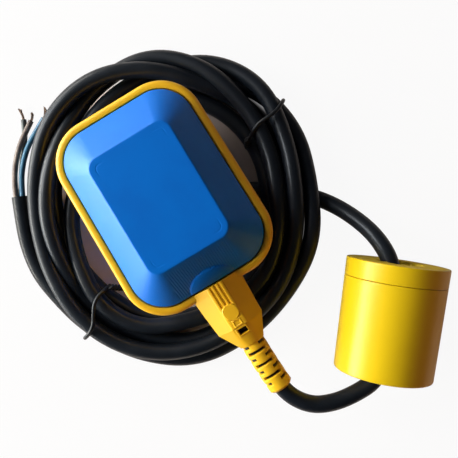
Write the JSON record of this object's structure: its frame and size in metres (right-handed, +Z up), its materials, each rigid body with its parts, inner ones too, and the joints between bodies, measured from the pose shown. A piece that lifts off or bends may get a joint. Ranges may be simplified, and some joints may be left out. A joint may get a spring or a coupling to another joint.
{
  "type": "cable float switch",
  "caption": "Blue and yellow float with a tilt switch inside, on a black rubber cable laid in a coil, with a yellow cylindrical counterweight.",
  "frame": {"origin": "Middle of the base of the box round the float and the counterweight, on the surface they lie on.", "axes": "+X from the float's round end to its cable outlet, +Z up from the surface, +Y across the float towards the counterweight."},
  "size_m": [0.2323, 0.1914, 0.0514],
  "materials": {
    "shell_blue": "smooth moulded plastic, satin gloss",
    "rim_yellow": "moulded plastic, satin",
    "weight_yellow": "smooth moulded plastic, gloss",
    "cable_rubber": "black rubber jacket, satin",
    "core_blue": "insulation, blue",
    "core_black": "insulation, black",
    "core_brown": "insulation, brown",
    "copper": "bare stranded copper",
    "tie_black": "plastic covered tie wire",
    "capsule_white": "moulded plastic",
    "switch_black": "moulded plastic",
    "switch_red": "moulded plastic",
    "steel": "polished steel",
    "spring_steel": "spring steel strip",
    "blade_brass": "stamped brass",
    "seal_rubber": "soft rubber",
    "ballast_iron": "rough cast iron"
  },
  "bodies": {
    "root": {"upper_shell": "shell_blue", "lower_shell": "shell_blue", "rim_frame": "rim_yellow", "strain_relief": "rim_yellow", "cable_in_neck": "cable_rubber", "cable_seal": "seal_rubber", "cable_clamp": "spring_steel", "capsule_base": "capsule_white", "capsule_lid": "capsule_white", "ball_track": "capsule_white", "switch_case": "switch_black", "lever_pin": "steel", "blade_closed": "blade_brass", "blade_common": "blade_brass", "blade_open": "blade_brass", "inner_core_closed": "core_blue", "inner_core_common": "core_black", "inner_core_open": "core_brown", "counterweight_shell": "weight_yellow", "counterweight_cap": "weight_yellow", "counterweight_ballast": "ballast_iron", "counterweight_grip": "switch_black", "cable_lead": "cable_rubber", "cable_coil": "cable_rubber", "cable_tail": "cable_rubber", "core_blue": "core_blue", "core_black": "core_black", "core_brown": "core_brown", "copper_blue": "copper", "copper_black": "copper", "copper_brown": "copper", "tie_upper": "tie_black", "tie_lower": "tie_black"},
    "ball": {"steel_ball": "steel"},
    "lever": {"switch_lever": "spring_steel"},
    "plunger": {"switch_plunger": "switch_red"}
  },
  "joints": [
    {"name": "ball_roll", "type": "slide", "parent": "root", "child": "ball", "axis": [1, 0, 0], "range_m": [-0.0238, 0]},
    {"name": "lever_hinge", "type": "hinge", "parent": "root", "child": "lever", "pos_m": [-0.03982, -0.04246, 0.0299], "axis": [0, 0, -1], "range_deg": [0, 3.8], "stiffness_Nm_per_rad": 0.01},
    {"name": "plunger_slide", "type": "slide", "parent": "root", "child": "plunger", "axis": [1, 0, 0], "range_m": [0, 0.00091]}
  ],
  "couplings": [
    {"joint": "plunger_slide", "follows": "lever_hinge", "m_per_rad": 0.01357}
  ]
}
